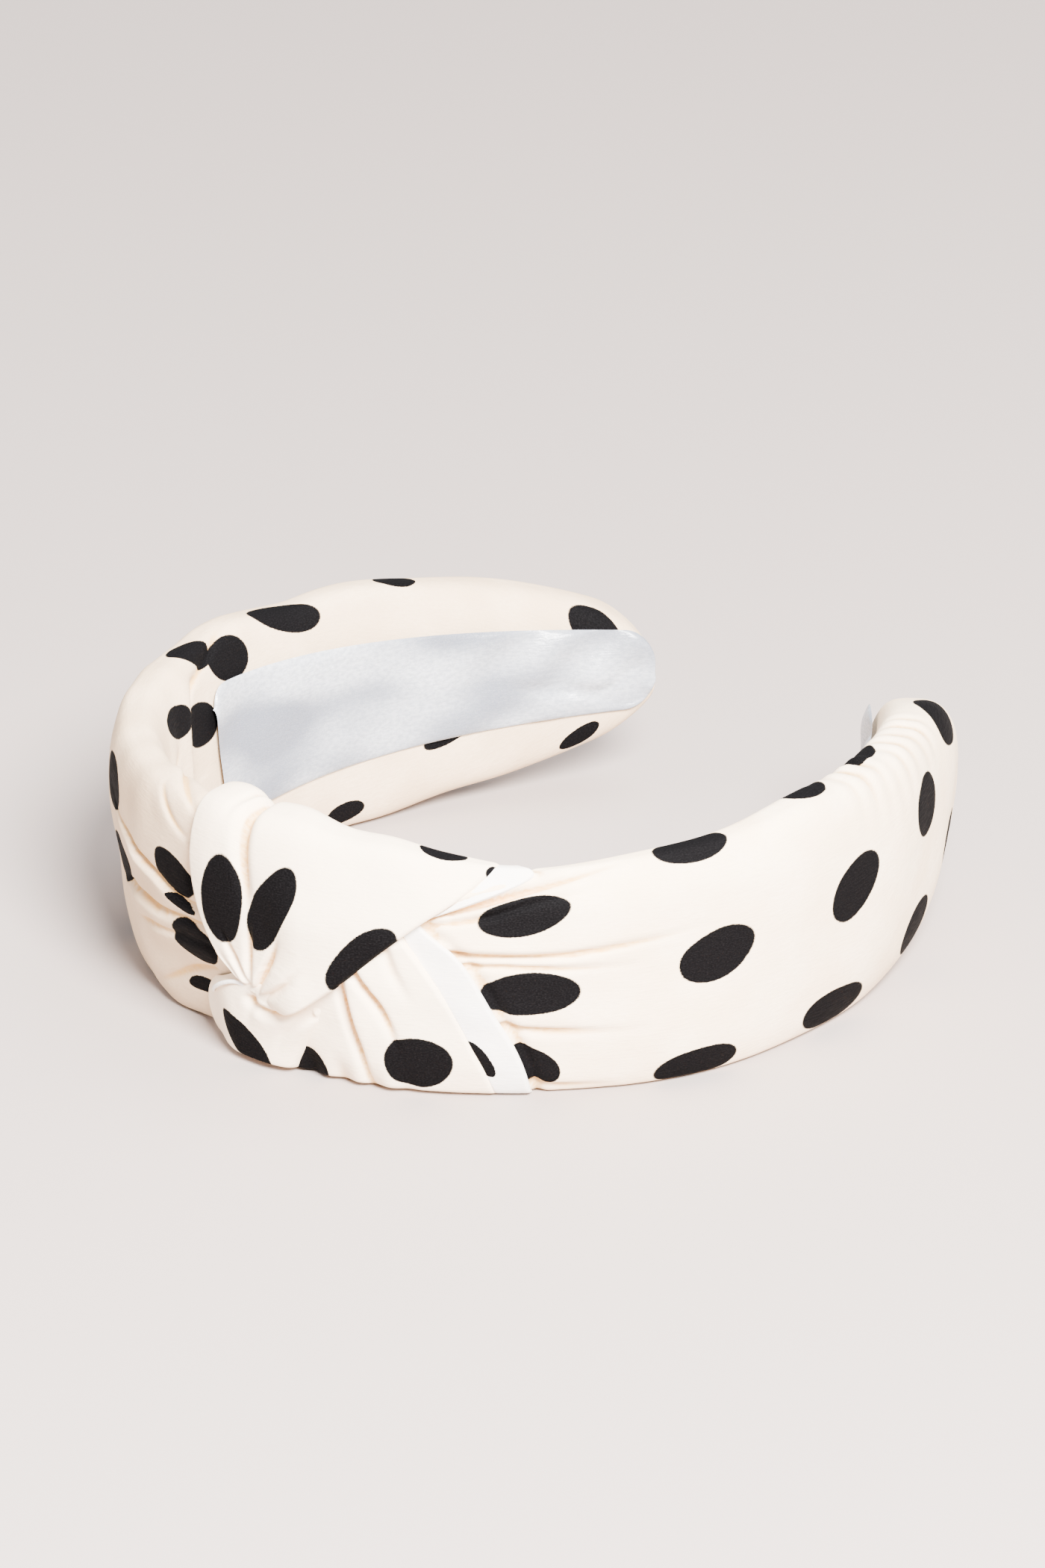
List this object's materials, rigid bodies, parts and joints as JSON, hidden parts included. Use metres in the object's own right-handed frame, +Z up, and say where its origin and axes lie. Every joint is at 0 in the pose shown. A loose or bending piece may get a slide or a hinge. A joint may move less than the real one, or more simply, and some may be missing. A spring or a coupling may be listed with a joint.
{
  "type": "knotted padded headband",
  "caption": "C-shaped padded headband in dotted satin with a knot at the crown, a satin-lined inside and two springy arms.",
  "frame": {"origin": "middle of the bounding box's base, on the surface that the band lies on", "axes": "+Z up across the band's width; the crown and its knot face -Y, the tips point to +Y; +X is the arm that the knot's pale edge lies next to"},
  "size_m": [0.1416, 0.1516, 0.0497],
  "materials": {
    "dotted_satin": "cream satin with black irregular oval dots",
    "pale_satin": "pale blue-white satin",
    "white_edge": "white satin edge",
    "foam": "open-cell foam",
    "core_plastic": "moulded matt plastic",
    "glue": "hot-melt glue",
    "thread": "cream thread"
  },
  "bodies": {
    "crown": {"band_core": "core_plastic", "crown_foam": "foam", "crown_sleeve": "dotted_satin", "knot_facing": "pale_satin", "knot_lower_fan": "dotted_satin", "knot_over_wrap": "dotted_satin", "knot_back_strap": "dotted_satin", "knot_rolled_edge": "white_edge", "knot_stitches": "thread"},
    "left_arm": {"left_foam": "foam", "left_cover": "dotted_satin", "left_lining": "pale_satin", "left_hem_glue": "glue"},
    "right_arm": {"right_foam": "foam", "right_cover": "dotted_satin", "right_lining": "pale_satin", "right_hem_glue": "glue"}
  },
  "joints": [
    {"name": "left_arm_flex", "type": "hinge", "parent": "crown", "child": "left_arm", "pos_m": [-0.01846, -0.06049, 0.02276], "axis": [0, 0, 1], "range_deg": [-4, 12], "stiffness_Nm_per_rad": 1.2, "deforming": ["band_core"]},
    {"name": "right_arm_flex", "type": "hinge", "parent": "crown", "child": "right_arm", "pos_m": [0.04495, -0.04267, 0.02281], "axis": [0, 0, -1], "range_deg": [-4, 12], "stiffness_Nm_per_rad": 1.2, "deforming": ["band_core"]}
  ]
}
